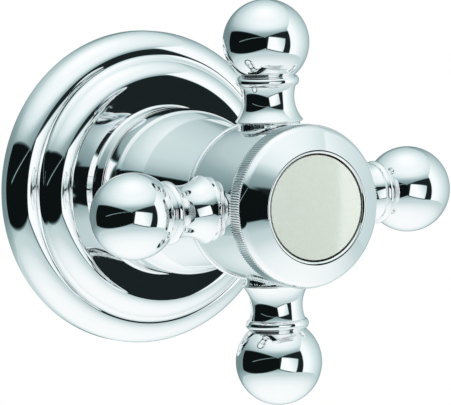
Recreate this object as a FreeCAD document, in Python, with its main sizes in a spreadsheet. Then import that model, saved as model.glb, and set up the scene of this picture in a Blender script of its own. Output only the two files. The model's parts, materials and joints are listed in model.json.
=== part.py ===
"""Cross handle tap for a concealed valve, as separate turned pieces.

+Z is up, the wall is the plane Y = 0 and the tap's axis runs out of it along -Y.
Every piece is drawn on its own axis, which is its local Z, and is then laid in place:
`at` is the distance from the wall, along the tap's axis, of the piece's own zero.
"""
import FreeCAD, Part
import math
import os
import Sketcher

os.makedirs("parts", exist_ok=True)
doc = FreeCAD.newDocument("CrossHandleTap")

# ---------------------------------------------------------------- driving sizes, mm
SIZES = {
    # fits shared by every piece
    "slip": 0.05,               # radial clearance of a screwed or pushed-in piece
    "running": 0.08,            # radial clearance of a piece that turns in another
    "seam": 0.06,               # axial gap at a visible joint or a sliding face
    "overlap": 0.65,            # how far two joined shapes are drawn into each other
    # wall flange, from the rim inwards
    "flange_radius": 31.0,
    "rim_height": 2.35,
    "ring_width": 4.2,
    "ring_height": 6.55,
    "ring_swell": 1.0,
    "cove_width": 1.3,
    "cove_rise": 1.05,
    "cove_depth": 0.3,
    "crest_width": 4.6,
    "crest_rise": 3.33,
    "crest_swell": 1.05,
    "collar_fillet": 0.4,
    "collar_hollow": 0.12,
    "collar_wall": 1.9,
    "collar_height": 14.0,
    "flange_wall": 1.3,
    "gasket_width": 2.2,
    "gasket_height": 1.4,
    # sleeve between the flange and the handle
    "tail_radius": 14.5,
    "tail_length": 6.4,
    "sleeve_foot_radius": 16.1,
    "sleeve_waist_radius": 14.72,
    "sleeve_belly_length": 12.0,
    "sleeve_belly_swell": 0.85,
    "sleeve_mouth_radius": 11.7,
    "sleeve_taper_length": 17.4,
    "sleeve_taper_hollow": 0.1,
    "sleeve_wall": 2.2,
    "sleeve_thread_length": 10.0,
    "mouth_lip": 2.9,
    "seal_section": 1.5,
    # headwork that screws into the valve in the wall
    "nose_depth": 26.0,
    "nose_radius": 8.5,
    "nose_length": 12.0,
    "window_width": 7.0,
    "window_height": 3.6,
    "chamber_radius": 7.2,
    "valve_thread_radius": 10.48,
    "valve_thread_length": 9.0,
    "hex_corner_radius": 13.3,
    "hex_height": 6.0,
    "barrel_radius": 8.0,
    "barrel_length": 14.0,
    "ceramic_thickness": 2.5,
    "port_radius": 1.9,
    "port_offset": 3.7,
    "outlet_seal_height": 4.0,
    "outlet_seal_stand": 0.8,
    "outlet_seal_bore": 5.2,
    "nose_seal_section": 1.6,
    "adaptor_radius": 10.4,
    "adaptor_overhang": 2.0,
    # spindle and its extension
    "spindle_radius": 4.95,
    "spindle_flange_height": 2.9,
    "spindle_seal_section": 1.5,
    "spindle_seal_first": 10.0,
    "spindle_seal_pitch": 5.0,
    "glide_thickness": 0.5,
    "glide_width": 2.3,
    "clip_thickness": 0.9,
    "clip_radius": 6.7,
    "clip_mouth": 5.0,
    "clip_groove_depth": 0.8,
    "spline_radius": 4.0,
    "spline_depth": 0.45,
    "spline_teeth": 20.0,
    "spline_length": 8.0,
    "extension_radius": 7.0,
    "nose_spline_radius": 5.0,
    "grub_radius": 1.5,
    "grub_key": 0.85,
    "grub_key_depth": 1.2,
    "grub_setback": 0.5,
    "guide_length": 2.7,
    "guide_bore_wall": 2.4,
    # handle hub
    "hub_gap": 0.8,
    "hub_length": 16.4,
    "hub_radius": 15.05,
    "hub_rear_radius": 15.1,
    "hub_swell": 0.2,
    "lip_width": 1.5,
    "lip_height": 0.22,
    "lip_step": 0.15,
    "insert_radius": 7.2,
    "web_thickness": 3.2,
    "web_setback": 7.6,
    "boss_radius": 6.0,
    "boss_reach": 15.4,
    "boss_taper": 0.25,
    # arms
    "arm_setback": 7.0,
    "stud_radius": 2.5,
    "stud_length": 6.4,
    "root_radius": 6.45,
    "root_round": 0.3,
    "root_swell": 0.087,
    "neck_hollow": 0.9,
    "neck_top_radius": 5.4,
    "bead_edge_radius": 5.6,
    "bead_width": 1.7,
    "bead_swell": 0.42,
    "bead_step": 0.12,
    "foot_radius": 5.2,
    "ball_radius": 8.25,
    "ball_centre": 30.6,
    # knurled cap and its disc
    "cap_thread_radius": 12.3,
    "cap_thread_length": 3.8,
    "cap_wall": 1.3,
    "knurl_radius": 15.55,
    "knurl_depth": 0.32,
    "knurl_length": 3.6,
    "knurl_teeth": 200.0,
    "band_edge": 0.25,
    "dome_rise": 3.2,
    "dome_swell": 0.2,
    "lip_round": 0.65,
    "lip_swell": 0.13,
    "seat_radius": 10.25,
    "seat_depth": 2.5,
    "disc_gap": 0.35,
    "disc_edge": 1.5,
    "disc_crown": 0.45,
    "cushion_height": 0.6,
    "cushion_width": 3.0,
    # handle screw
    "screw_radius": 2.45,
    "screw_reach": 9.0,
    "screw_head_radius": 4.3,
    "screw_head_height": 3.0,
    "screw_key": 2.3,
    "screw_key_depth": 2.0,
    "washer_radius": 5.2,
    "washer_thickness": 0.8,
}

sheet = doc.addObject("Spreadsheet::Sheet", "Sizes")
for row, (name, value) in enumerate(SIZES.items(), start=1):
    sheet.set(f"A{row}", name)
    sheet.set(f"B{row}", str(value))
    sheet.setAlias(f"B{row}", name)
doc.recompute()


class Size:
    """A length that knows its number and the sheet formula that gives it."""

    def __init__(self, value, formula=None):
        self.value = float(value)
        self.formula = formula if formula else f"{self.value:.6g}"

    @staticmethod
    def of(other):
        return other if isinstance(other, Size) else Size(other)

    def _join(self, sign, other, value):
        return Size(value, f"({self.formula} {sign} {other.formula})")

    def __add__(self, other):
        other = Size.of(other)
        return self._join("+", other, self.value + other.value)

    def __sub__(self, other):
        other = Size.of(other)
        return self._join("-", other, self.value - other.value)

    def __mul__(self, other):
        other = Size.of(other)
        return self._join("*", other, self.value * other.value)

    def __truediv__(self, other):
        other = Size.of(other)
        return self._join("/", other, self.value / other.value)

    def __neg__(self):
        return Size(-self.value, f"(-1 * {self.formula})")

    def root(self):
        return Size(math.sqrt(self.value), f"sqrt({self.formula})")

    def beside(self, distance):
        """The other short side of a right triangle whose long side is this size."""
        return (self * self - distance * distance).root()


class Sheet:
    """Gives each cell of the sheet as a Size, by its name."""

    def __getattr__(self, name):
        return Size(sheet.get(name), f"Sizes.{name}")


mm = Sheet()


# ---------------------------------------------------------------- drawing helpers
class Outline:
    """A closed outline of (x, y) corners joined by straight lines and arcs.

    It is drawn anticlockwise. An arc's swell is how far its middle stands out of the
    straight line between its ends: positive away from the piece, negative into it.
    """

    def __init__(self, x, y):
        self.corners = [(Size.of(x), Size.of(y))]
        self.swells = []

    def line(self, x, y):
        self.corners.append((Size.of(x), Size.of(y)))
        self.swells.append(None)
        return self

    def arc(self, x, y, swell):
        self.line(x, y)
        self.swells[-1] = Size.of(swell)
        return self

    def ball(self, x, y, radius):
        """An arc of a given radius, less than half a turn, that swells outwards."""
        x0, y0 = self.corners[-1]
        dx, dy = Size.of(x) - x0, Size.of(y) - y0
        half_chord = (dx * dx + dy * dy).root() / 2
        return self.arc(x, y, radius - radius.beside(half_chord))

    def draw(self, sketch):
        """Put the outline in a sketch, with every corner and radius driven by its formula."""
        count = len(self.corners)
        swells = self.swells + [None] * (count - len(self.swells))
        ends = []
        for index, swell in enumerate(swells):
            start, end = self.corners[index], self.corners[(index + 1) % count]
            if swell is None:
                sketch.addGeometry(Part.LineSegment(point(start), point(end)), False)
                ends.append((1, 2))
            else:
                ends.append(self.draw_arc(sketch, index, start, end, swell))
        for index in range(count):
            after = (index + 1) % count
            sketch.addConstraint(Sketcher.Constraint("Coincident", index, ends[index][1], after, ends[after][0]))
        for index, (x, y) in enumerate(self.corners):
            fix(sketch, "DistanceX", index, ends[index][0], x, -2)
            fix(sketch, "DistanceY", index, ends[index][0], y, -1)

    @staticmethod
    def draw_arc(sketch, index, start, end, swell):
        a, b = point(start), point(end)
        chord = b - a
        height = abs(swell.value)
        radius = chord.Length ** 2 / (8 * height) + height / 2
        left = FreeCAD.Vector(-chord.y, chord.x, 0).normalize()
        side = 1 if swell.value > 0 else -1
        centre = (a + b) * 0.5 + left * (side * (radius - height))
        first, last = (a, b) if side > 0 else (b, a)
        angles = [math.atan2(end.y - centre.y, end.x - centre.x) for end in (first, last)]
        circle = Part.Circle(centre, FreeCAD.Vector(0, 0, 1), radius)
        sketch.addGeometry(Part.ArcOfCircle(circle, angles[0], angles[1]), False)
        dx, dy = end[0] - start[0], end[1] - start[1]
        rise = swell if side > 0 else -swell
        formula = (dx * dx + dy * dy) / (rise * 8) + rise / 2
        constrain(sketch, ("Radius", index), formula)
        return (1, 2) if side > 0 else (2, 1)


def point(corner):
    return FreeCAD.Vector(corner[0].value, corner[1].value, 0)


def constrain(sketch, what, size):
    """Add one dimension to a sketch and bind it to the sheet."""
    index = sketch.addConstraint(Sketcher.Constraint(*what, size.value))
    sketch.setExpression(f"Constraints[{index}]", size.formula)


def fix(sketch, kind, index, end, size, axis):
    """Hold one coordinate of a corner: on the axis when it is nought, else by a dimension."""
    if size.value == 0:
        sketch.addConstraint(Sketcher.Constraint("PointOnObject", index, end, axis))
    else:
        constrain(sketch, (kind, index, end), size)


def sketch_on(body, role, name):
    plane = next(item for item in body.Origin.OriginFeatures if item.Role == role)
    sketch = body.newObject("Sketcher::SketchObject", name)
    sketch.AttachmentSupport = [(plane, "")]
    sketch.MapMode = "FlatFace"
    return sketch


def turned(label, outline):
    """A piece turned on its own Z: the outline holds (radius, height) corners."""
    body = doc.addObject("PartDesign::Body", label)
    sketch = sketch_on(body, "XZ_Plane", f"{label}_outline")
    outline.draw(sketch)
    turning = body.newObject("PartDesign::Revolution", f"{label}_turning")
    turning.Profile = sketch
    turning.ReferenceAxis = (sketch, ["V_Axis"])
    turning.Angle = 360.0
    sketch.Visibility = False
    return body


def ring(label, inner, outer, height, base=0):
    """A plain turned ring or washer, or a plain disc where the inner radius is nought."""
    base = Size.of(base)
    shape = Outline(inner, base).line(outer, base).line(outer, base + height).line(inner, base + height)
    return turned(label, shape)


def o_ring(label, inner, section):
    """A rubber ring of round section, lying on its own zero plane."""
    torus = doc.addObject("Part::Torus", label)
    torus.setExpression("Radius1", (inner + section / 2).formula)
    torus.setExpression("Radius2", (section / 2).formula)
    return torus


def bar(name, radius, length, base=0):
    """A plain round bar on the local axis."""
    cylinder = doc.addObject("Part::Cylinder", name)
    cylinder.setExpression("Radius", Size.of(radius).formula)
    cylinder.setExpression("Height", Size.of(length).formula)
    cylinder.setExpression("Placement.Base.z", Size.of(base).formula)
    return cylinder


def hexagon(name, corner, length, base=0):
    """A six-sided prism on the local axis."""
    prism = doc.addObject("Part::Prism", name)
    prism.Polygon = 6
    prism.setExpression("Circumradius", Size.of(corner).formula)
    prism.setExpression("Height", Size.of(length).formula)
    prism.setExpression("Placement.Base.z", Size.of(base).formula)
    return prism


def toothed(name, tip, root, teeth, base, length, bore=None):
    """A prism of straight V teeth on the local axis, hollow where a bore is given."""
    corners = []
    count = round(teeth.value)
    for step in range(2 * count + 1):
        radius = tip.value if step % 2 == 0 else root.value
        angle = math.pi * step / count
        corners.append(FreeCAD.Vector(radius * math.cos(angle), radius * math.sin(angle), base.value))
    face = Part.Face(Part.makePolygon(corners))
    solid = face.extrude(FreeCAD.Vector(0, 0, length.value))
    if bore:
        core = Part.makeCylinder(bore.value, length.value, FreeCAD.Vector(0, 0, base.value))
        solid = solid.cut(core)
    feature = doc.addObject("Part::Feature", name)
    feature.Shape = solid
    return feature


def cut(label, base, tool):
    result = doc.addObject("Part::Cut", label)
    result.Base = base
    result.Tool = tool
    return result


def fuse(label, *pieces):
    result = doc.addObject("Part::MultiFuse", label)
    result.Shapes = list(pieces)
    return result


OUTWARDS = FreeCAD.Rotation(FreeCAD.Vector(1, 0, 0), 90)
pieces = []


def lay(piece, label, at):
    """Lay a finished piece on the tap's axis, its own zero `at` from the wall."""
    piece.Label = label
    piece.Placement = FreeCAD.Placement(FreeCAD.Vector(0, -Size.of(at).value, 0), OUTWARDS)
    piece.setExpression("Placement.Base.y", (-Size.of(at)).formula)
    pieces.append(piece)
    return piece


# ---------------------------------------------------------------- places along the axis
sleeve_seat = mm.collar_height + mm.seam
sleeve_length = mm.sleeve_belly_length + mm.sleeve_taper_length
sleeve_front = sleeve_seat + sleeve_length
hub_rear = sleeve_front + mm.hub_gap
hub_front = hub_rear + mm.hub_length
arm_plane = hub_rear + mm.arm_setback
web_rear = hub_rear + mm.web_setback
web_front = web_rear + mm.web_thickness
hex_rear = mm.nose_length + mm.valve_thread_length - mm.nose_depth
barrel_rear = hex_rear + mm.hex_height
barrel_front = barrel_rear + mm.barrel_length

# ---------------------------------------------------------------- wall flange
ring_inner = mm.flange_radius - mm.ring_width
crest_outer = ring_inner - mm.cove_width
crest_inner = crest_outer - mm.crest_width
crest_foot = mm.ring_height + mm.cove_rise
crest_top = crest_foot + mm.crest_rise
collar_bore = mm.tail_radius + mm.slip
collar_radius = collar_bore + mm.collar_wall
gasket_radius = mm.flange_radius - mm.flange_wall - mm.slip
gasket_bore = gasket_radius - mm.gasket_width
dish_roof = crest_top - mm.flange_wall

wall_flange = turned("wall_flange_body", (
    Outline(mm.flange_radius - mm.flange_wall, 0)
    .line(mm.flange_radius, 0)
    .line(mm.flange_radius, mm.rim_height)
    .arc(ring_inner, mm.ring_height, mm.ring_swell)
    .arc(crest_outer, crest_foot, -mm.cove_depth)
    .arc(crest_inner, crest_top, mm.crest_swell)
    .line(collar_radius + mm.collar_fillet, crest_top)
    .arc(collar_radius, crest_top + mm.collar_fillet, -mm.collar_hollow)
    .line(collar_radius, mm.collar_height)
    .line(collar_bore, mm.collar_height)
    .line(collar_bore, dish_roof)
    .line(crest_inner, dish_roof)
    .line(crest_outer - mm.flange_wall, crest_foot)
    .line(gasket_bore, mm.gasket_height)
    .line(mm.flange_radius - mm.flange_wall, mm.gasket_height)
))
lay(wall_flange, "wall_flange", 0)

lay(ring("flange_gasket_body", gasket_bore, gasket_radius, mm.gasket_height), "flange_gasket", 0)

# ---------------------------------------------------------------- sleeve
seal_groove = collar_bore - mm.seal_section - mm.slip
thread_bore = mm.adaptor_radius + mm.slip
belly_bore = mm.sleeve_waist_radius - mm.sleeve_wall
mouth_bore = mm.extension_radius + mm.guide_bore_wall
taper_bore = mm.sleeve_mouth_radius - mm.sleeve_wall / 2
tail_top = mm.tail_length
groove_top = mm.tail_length / 2 + mm.seal_section / 2 + mm.slip
groove_foot = mm.tail_length / 2 - mm.seal_section / 2 - mm.slip
belly_top = tail_top + mm.sleeve_belly_length
sleeve_top = belly_top + mm.sleeve_taper_length

sleeve = turned("sleeve_body", (
    Outline(thread_bore, 0)
    .line(mm.tail_radius, 0)
    .line(mm.tail_radius, groove_foot)
    .line(seal_groove, groove_foot)
    .line(seal_groove, groove_top)
    .line(mm.tail_radius, groove_top)
    .line(mm.tail_radius, tail_top)
    .line(mm.sleeve_foot_radius, tail_top)
    .arc(mm.sleeve_waist_radius, belly_top, mm.sleeve_belly_swell)
    .arc(mm.sleeve_mouth_radius, sleeve_top, -mm.sleeve_taper_hollow)
    .line(mouth_bore, sleeve_top)
    .line(mouth_bore, sleeve_top - mm.mouth_lip)
    .line(taper_bore, sleeve_top - mm.mouth_lip)
    .line(taper_bore, belly_top)
    .line(belly_bore, belly_top)
    .line(belly_bore, mm.sleeve_thread_length)
    .line(thread_bore, mm.sleeve_thread_length)
))
lay(sleeve, "bonnet_sleeve", sleeve_seat - mm.tail_length)

sleeve_seal = o_ring("sleeve_seal_body", seal_groove + mm.slip / 2, mm.seal_section)
lay(sleeve_seal, "sleeve_seal", sleeve_seat - mm.tail_length / 2)

guide = ring("guide_body", mm.extension_radius + mm.running, mouth_bore - mm.slip, mm.guide_length)
lay(guide, "guide_ring", sleeve_front - mm.guide_length)

# ---------------------------------------------------------------- headwork
spindle_bore = mm.spindle_radius + mm.running
thread_top = mm.nose_length + mm.valve_thread_length
seal_seat = thread_top - mm.nose_seal_section - mm.slip
nose_seal_bore = mm.valve_thread_radius - mm.nose_seal_section / 2
barrel_top = thread_top + mm.hex_height + mm.barrel_length

headwork_turning = turned("headwork_turning", (
    Outline(mm.chamber_radius, 0)
    .line(mm.nose_radius, 0)
    .line(mm.nose_radius, mm.nose_length)
    .line(mm.valve_thread_radius, mm.nose_length)
    .line(mm.valve_thread_radius, seal_seat)
    .line(nose_seal_bore, seal_seat)
    .line(nose_seal_bore, thread_top)
    .line(mm.barrel_radius, thread_top)
    .line(mm.barrel_radius, barrel_top)
    .line(spindle_bore, barrel_top)
    .line(spindle_bore, mm.nose_length)
    .line(mm.chamber_radius, mm.nose_length)
))
windows = sketch_on(headwork_turning, "XZ_Plane", "nose_windows_outline")
window_foot = mm.ceramic_thickness + mm.outlet_seal_height
# the cut runs both ways from the middle plane, so one outline opens both windows
window_half = mm.window_width / 2
window_corners = [
    (-window_half, window_foot),
    (window_half, window_foot),
    (window_half, window_foot + mm.window_height),
    (-window_half, window_foot + mm.window_height),
]
window = Outline(*window_corners[0])
for corner in window_corners[1:]:
    window.line(*corner)
window.draw(windows)
window_cut = headwork_turning.newObject("PartDesign::Pocket", "nose_windows")
window_cut.Profile = windows
window_cut.Type = "ThroughAll"
window_cut.Midplane = True

hex_ring = cut("hex_ring",
               hexagon("hex_bar", mm.hex_corner_radius, mm.hex_height, thread_top),
               bar("hex_bore", mm.barrel_radius - mm.overlap, mm.hex_height * 2, thread_top - mm.overlap))
headwork = fuse("headwork_solid", headwork_turning, hex_ring)
lay(headwork, "headwork_body", -mm.nose_depth)

nose_seal = o_ring("nose_seal_body", nose_seal_bore + mm.slip / 2, mm.nose_seal_section)
lay(nose_seal, "nose_seal", hex_rear - mm.nose_seal_section / 2 - mm.slip / 2)

ceramic_radius = mm.chamber_radius - mm.running


def ceramic_disc(label, turn):
    """A ceramic valve disc with two opposite ports, turned by `turn` degrees."""
    blank = bar(f"{label}_blank", ceramic_radius, mm.ceramic_thickness)
    ports = []
    for side, angle in enumerate((turn, turn + 180)):
        port = bar(f"{label}_port_{side}", mm.port_radius, mm.ceramic_thickness * 3, -mm.ceramic_thickness)
        across, up = math.cos(math.radians(angle)), math.sin(math.radians(angle))
        port.setExpression("Placement.Base.x", (mm.port_offset * round(across)).formula)
        port.setExpression("Placement.Base.y", (mm.port_offset * round(up)).formula)
        ports.append(port)
    return cut(f"{label}_solid", blank, fuse(f"{label}_ports", *ports))


fixed_at = mm.outlet_seal_height - mm.nose_depth
moving_at = fixed_at + mm.ceramic_thickness + mm.seam
lay(ceramic_disc("fixed_disc", 0), "fixed_ceramic_disc", fixed_at)
lay(ceramic_disc("moving_disc", 90), "moving_ceramic_disc", moving_at)

outlet_seal = ring("outlet_seal_body", mm.outlet_seal_bore, mm.chamber_radius - mm.slip,
                   mm.outlet_seal_height + mm.outlet_seal_stand)
lay(outlet_seal, "outlet_seal", -mm.nose_depth - mm.outlet_seal_stand)

adaptor_length = mm.barrel_length + mm.adaptor_overhang
adaptor = ring("adaptor_body", mm.barrel_radius + mm.slip, mm.adaptor_radius, adaptor_length)
lay(adaptor, "adaptor_tube", barrel_rear + mm.seam)

glide = ring("glide_body", mm.spindle_radius + mm.running, mm.spindle_radius + mm.glide_width, mm.glide_thickness)
lay(glide, "glide_washer", barrel_front)

# ---------------------------------------------------------------- spindle
spindle_at = moving_at + mm.ceramic_thickness
flange_top = mm.spindle_flange_height
groove_radius = mm.spindle_radius - mm.clip_groove_depth
clip_foot = barrel_front + mm.glide_thickness + mm.seam - spindle_at
clip_top = clip_foot + mm.clip_thickness + mm.seam
spindle_seal_bore = spindle_bore - mm.running / 2 - mm.spindle_seal_section
stem_top = clip_top + mm.clip_thickness
spline_root = mm.spline_radius - mm.spline_depth

stem = Outline(0, 0).line(ceramic_radius, 0).line(ceramic_radius, flange_top).line(mm.spindle_radius, flange_top)
for turn in range(2):
    groove_foot = mm.spindle_seal_first + mm.spindle_seal_pitch * turn
    groove_top = groove_foot + mm.spindle_seal_section + mm.slip
    stem.line(mm.spindle_radius, groove_foot)
    stem.line(spindle_seal_bore - mm.slip / 2, groove_foot)
    stem.line(spindle_seal_bore - mm.slip / 2, groove_top)
    stem.line(mm.spindle_radius, groove_top)
stem.line(mm.spindle_radius, clip_foot)
stem.line(groove_radius, clip_foot)
stem.line(groove_radius, clip_top)
stem.line(mm.spindle_radius, clip_top)
stem.line(mm.spindle_radius, stem_top)
stem.line(0, stem_top)
spline = toothed("spindle_spline", mm.spline_radius, spline_root, mm.spline_teeth,
                 stem_top - mm.clip_thickness, mm.spline_length + mm.clip_thickness)
spindle = fuse("spindle_solid", turned("spindle_turning", stem), spline)
lay(spindle, "spindle", spindle_at)

spindle_seals = []
for turn in range(2):
    seal = o_ring(f"spindle_seal_{turn}", spindle_seal_bore, mm.spindle_seal_section)
    centre = mm.spindle_seal_first + mm.spindle_seal_pitch * turn + (mm.spindle_seal_section + mm.slip) / 2
    seal.setExpression("Placement.Base.z", centre.formula)
    spindle_seals.append(seal)
seal_pair = doc.addObject("Part::Compound", "spindle_seal_pair")
seal_pair.Links = spindle_seals
lay(seal_pair, "spindle_seals", spindle_at)

clip_ring = ring("clip_ring", groove_radius + mm.slip, mm.clip_radius, mm.clip_thickness)
clip_mouth = doc.addObject("Part::Box", "clip_mouth")
clip_mouth.setExpression("Length", mm.clip_mouth.formula)
clip_mouth.setExpression("Width", (mm.clip_radius * 2).formula)
clip_mouth.setExpression("Height", (mm.clip_thickness * 3).formula)
clip_mouth.setExpression("Placement.Base.x", (mm.clip_mouth / -2).formula)
clip_mouth.setExpression("Placement.Base.z", (-mm.clip_thickness).formula)
lay(cut("clip_solid", clip_ring, clip_mouth), "spindle_clip", spindle_at + clip_foot + mm.seam / 2)

# ---------------------------------------------------------------- spindle extension
extension_at = spindle_at + stem_top + mm.seam
shoulder = hub_rear - mm.seam - extension_at
extension_top = web_rear - mm.seam - extension_at
nose_spline_root = mm.nose_spline_radius - mm.spline_depth
screw_bore = mm.screw_radius + mm.slip
screw_hole_depth = mm.screw_reach + mm.screw_radius
grub_height = mm.spline_length / 2

extension_bar = bar("extension_bar", mm.extension_radius, shoulder)
extension_nose = toothed("extension_nose", mm.nose_spline_radius, nose_spline_root, mm.spline_teeth,
                         shoulder - mm.spline_length / 2, extension_top - shoulder + mm.spline_length / 2)
extension_socket = toothed("extension_socket", mm.spline_radius + mm.slip, spline_root + mm.slip, mm.spline_teeth,
                           -mm.spline_length, mm.spline_length * 2 + mm.seam)
extension_thread = bar("extension_thread", screw_bore, screw_hole_depth * 2, extension_top - screw_hole_depth)
grub_hole = bar("grub_hole", mm.grub_radius + mm.slip, mm.extension_radius * 2)
grub_hole.Placement = FreeCAD.Placement(FreeCAD.Vector(0, 0, 0), FreeCAD.Rotation(FreeCAD.Vector(0, 1, 0), 90))
grub_hole.setExpression("Placement.Base.z", grub_height.formula)
extension_holes = fuse("extension_holes", extension_socket, extension_thread, grub_hole)
extension = cut("extension_solid", fuse("extension_blank", extension_bar, extension_nose), extension_holes)
lay(extension, "spindle_extension", extension_at)


def lay_radially(piece, label, angle, at):
    """Lay a piece so that its own Z points away from the tap's axis, `angle` up from +X."""
    piece.Label = label
    outwards = FreeCAD.Rotation(FreeCAD.Vector(0, 1, 0), 90 - angle)
    piece.Placement = FreeCAD.Placement(FreeCAD.Vector(0, -at.value, 0), outwards)
    piece.setExpression("Placement.Base.y", (-at).formula)
    pieces.append(piece)
    return piece


grub_foot = mm.spline_radius + mm.slip * 2
grub_length = mm.extension_radius - mm.grub_setback - grub_foot
grub_bar = bar("grub_bar", mm.grub_radius, grub_length, grub_foot)
grub_socket = hexagon("grub_socket", mm.grub_key, mm.grub_key_depth * 2, grub_foot + grub_length - mm.grub_key_depth)
lay_radially(cut("grub_solid", grub_bar, grub_socket), "extension_grub", 0, extension_at + grub_height)

# ---------------------------------------------------------------- handle hub
cavity_radius = mm.cap_thread_radius + mm.slip
web_foot = mm.web_setback
web_top = mm.web_setback + mm.web_thickness
boss_core = cavity_radius + mm.overlap
boss_foot_radius = mm.boss_radius + mm.boss_taper
stud_foot = mm.boss_reach - mm.stud_length

hub = turned("hub_body", (
    Outline(mm.insert_radius, 0)
    .line(mm.hub_rear_radius, 0)
    .arc(mm.hub_rear_radius, mm.lip_width, mm.lip_height)
    .line(mm.hub_rear_radius - mm.lip_step, mm.lip_width)
    .arc(mm.hub_radius, mm.hub_length, mm.hub_swell)
    .line(cavity_radius, mm.hub_length)
    .line(cavity_radius, web_top)
    .line(screw_bore + mm.running, web_top)
    .line(screw_bore + mm.running, web_foot)
    .line(mm.insert_radius, web_foot)
))


def turned_on_arm(kind, name, outline):
    """Turn an outline in the hub about its own first side, which lies on an arm's axis."""
    sketch = sketch_on(hub, "XZ_Plane", f"{name}_outline")
    outline.draw(sketch)
    turning = hub.newObject(kind, name)
    turning.Profile = sketch
    turning.ReferenceAxis = (sketch, ["Edge1"])
    turning.Angle = 360.0
    return turning


boss = turned_on_arm("PartDesign::Revolution", "arm_boss", (
    Outline(boss_core, mm.arm_setback)
    .line(mm.boss_reach, mm.arm_setback)
    .line(mm.boss_reach, mm.arm_setback + mm.boss_radius)
    .line(boss_core, mm.arm_setback + boss_foot_radius)
))
stud_hole = turned_on_arm("PartDesign::Groove", "stud_hole", (
    Outline(stud_foot - mm.seam, mm.arm_setback)
    .line(mm.boss_reach, mm.arm_setback)
    .line(mm.boss_reach, mm.arm_setback + mm.stud_radius + mm.slip)
    .line(stud_foot - mm.seam, mm.arm_setback + mm.stud_radius + mm.slip)
))
around = hub.newObject("PartDesign::PolarPattern", "four_bosses")
around.Originals = [boss, stud_hole]
around.Axis = (doc.getObject("hub_body_outline"), ["V_Axis"])
around.Angle = 360.0
around.Occurrences = 4
hub.Tip = around
lay(hub, "handle_hub", hub_rear)

insert_length = mm.web_setback - mm.seam
insert_ring = bar("insert_ring", mm.insert_radius - mm.slip, insert_length)
insert_bore = toothed("insert_bore", mm.nose_spline_radius + mm.slip, nose_spline_root + mm.slip, mm.spline_teeth,
                      -insert_length, insert_length * 3)
lay(cut("insert_solid", insert_ring, insert_bore), "spline_insert", hub_rear)

# ---------------------------------------------------------------- four arms with ball ends
root_foot = mm.boss_reach + mm.seam
ball_foot = mm.ball_centre - mm.ball_radius.beside(mm.foot_radius)
bead_top = ball_foot - mm.bead_step
bead_foot = bead_top - mm.bead_width

for label, angle in (("arm_right", 0), ("arm_top", 90), ("arm_left", 180), ("arm_bottom", 270)):
    arm = turned(f"{label}_body", (
        Outline(0, stud_foot)
        .line(mm.stud_radius, stud_foot)
        .line(mm.stud_radius, root_foot)
        .line(mm.root_radius - mm.root_round, root_foot)
        .arc(mm.root_radius, root_foot + mm.root_round, mm.root_swell)
        .arc(mm.neck_top_radius, bead_foot, -mm.neck_hollow)
        .line(mm.bead_edge_radius, bead_foot)
        .arc(mm.bead_edge_radius, bead_top, mm.bead_swell)
        .line(mm.foot_radius, bead_top)
        .line(mm.foot_radius, ball_foot)
        .ball(0, mm.ball_centre + mm.ball_radius, mm.ball_radius)
    ))
    lay_radially(arm, label, angle, arm_plane)

# ---------------------------------------------------------------- knurled cap
cap_at = hub_front - mm.cap_thread_length
cap_bore = mm.cap_thread_radius - mm.cap_wall
band_radius = mm.knurl_radius - mm.knurl_depth - mm.slip
band_foot = mm.cap_thread_length + mm.seam
band_top = band_foot + mm.knurl_length
cap_top = band_top + mm.dome_rise
seat_floor = cap_top - mm.seat_depth
lip_outer = mm.seat_radius + mm.lip_round

cap_blank = turned("cap_blank", (
    Outline(0, seat_floor - mm.cap_wall)
    .line(cap_bore, seat_floor - mm.cap_wall)
    .line(cap_bore, 0)
    .line(mm.cap_thread_radius, 0)
    .line(mm.cap_thread_radius, band_foot)
    .line(band_radius, band_foot)
    .line(band_radius, band_top)
    .arc(lip_outer, cap_top, mm.dome_swell)
    .arc(mm.seat_radius, cap_top - mm.lip_round / 2, mm.lip_swell)
    .line(mm.seat_radius, seat_floor)
    .line(0, seat_floor)
))
knurl = toothed("cap_knurl", mm.knurl_radius, mm.knurl_radius - mm.knurl_depth, mm.knurl_teeth,
                band_foot + mm.band_edge, mm.knurl_length - mm.band_edge * 2, band_radius - mm.cap_wall)
lay(fuse("cap_solid", cap_blank, knurl), "knurled_cap", cap_at)

disc_radius = mm.seat_radius - mm.disc_gap
cushion = ring("cushion_body", disc_radius - mm.cushion_width, disc_radius, mm.cushion_height)
lay(cushion, "disc_cushion", cap_at + seat_floor)
crown_radius = (disc_radius * disc_radius + mm.disc_crown * mm.disc_crown) / (mm.disc_crown * 2)

index_disc = turned("index_disc_body", (
    Outline(0, 0)
    .line(disc_radius, 0)
    .line(disc_radius, mm.disc_edge)
    .ball(0, mm.disc_edge + mm.disc_crown, crown_radius)
))
lay(index_disc, "index_disc", cap_at + seat_floor + mm.cushion_height)

# ---------------------------------------------------------------- handle screw
washer = ring("washer_body", screw_bore, mm.washer_radius, mm.washer_thickness)
lay(washer, "screw_washer", web_front)

shank_length = mm.screw_reach + mm.seam + mm.web_thickness + mm.washer_thickness
screw_top = shank_length + mm.screw_head_height
screw_blank = turned("screw_blank", (
    Outline(0, 0)
    .line(mm.screw_radius, 0)
    .line(mm.screw_radius, shank_length)
    .line(mm.screw_head_radius, shank_length)
    .line(mm.screw_head_radius, screw_top)
    .line(0, screw_top)
))
screw_socket = hexagon("screw_socket", mm.screw_key, mm.screw_key_depth * 2, screw_top - mm.screw_key_depth)
lay(cut("screw_solid", screw_blank, screw_socket), "handle_screw", web_rear - mm.seam - mm.screw_reach)

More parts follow.
